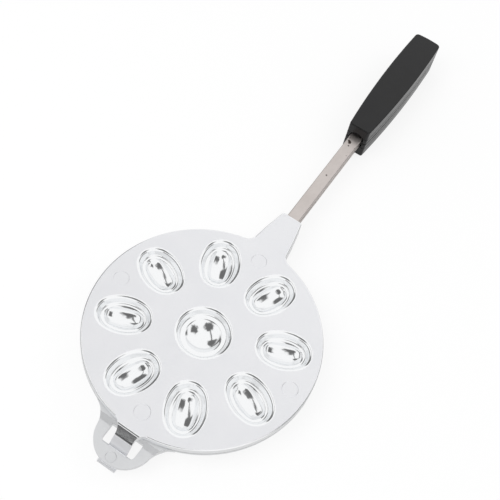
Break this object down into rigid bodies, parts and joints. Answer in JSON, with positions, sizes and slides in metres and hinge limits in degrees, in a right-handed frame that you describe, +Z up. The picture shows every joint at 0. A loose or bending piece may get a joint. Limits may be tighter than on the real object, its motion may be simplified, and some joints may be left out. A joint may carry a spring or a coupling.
{
  "type": "walnut cookie mold",
  "caption": "Hinged cast aluminium stovetop mold for walnut-shaped cookies: two round plates that hook together, each on a steel bar with a black plastic grip.",
  "frame": {"origin": "under the plates' centre, on the plane that the domes and the lower grip rest on", "axes": "+X from the plates' centre along the handle, +Z up out of the upper plate's outer face"},
  "size_m": [0.4311, 0.16, 0.0291],
  "materials": {
    "cast_aluminium_upper": "matt casting with polished hollows",
    "cast_aluminium_lower": "matt casting with polished cavities",
    "bar_steel": "drawn steel",
    "pin_steel": "plain steel",
    "grip_plastic": "satin black",
    "screw_steel": "zinc plated"
  },
  "bodies": {
    "lower_half": {"lower_plate": "cast_aluminium_lower", "lower_bar": "bar_steel", "lower_bar_pin": "pin_steel", "lower_grip_outer_shell": "grip_plastic", "lower_grip_inner_shell": "grip_plastic", "lower_grip_screws": "screw_steel"},
    "upper_half": {"upper_plate": "cast_aluminium_upper", "upper_bar": "bar_steel", "upper_bar_pin": "pin_steel", "upper_grip_outer_shell": "grip_plastic", "upper_grip_inner_shell": "grip_plastic", "upper_grip_screws": "screw_steel"}
  },
  "joints": [
    {"name": "mold_hinge", "type": "hinge", "parent": "lower_half", "child": "upper_half", "pos_m": [-0.0948, 0, 0.0116], "axis": [0, -1, 0], "range_deg": [0, 110]}
  ]
}
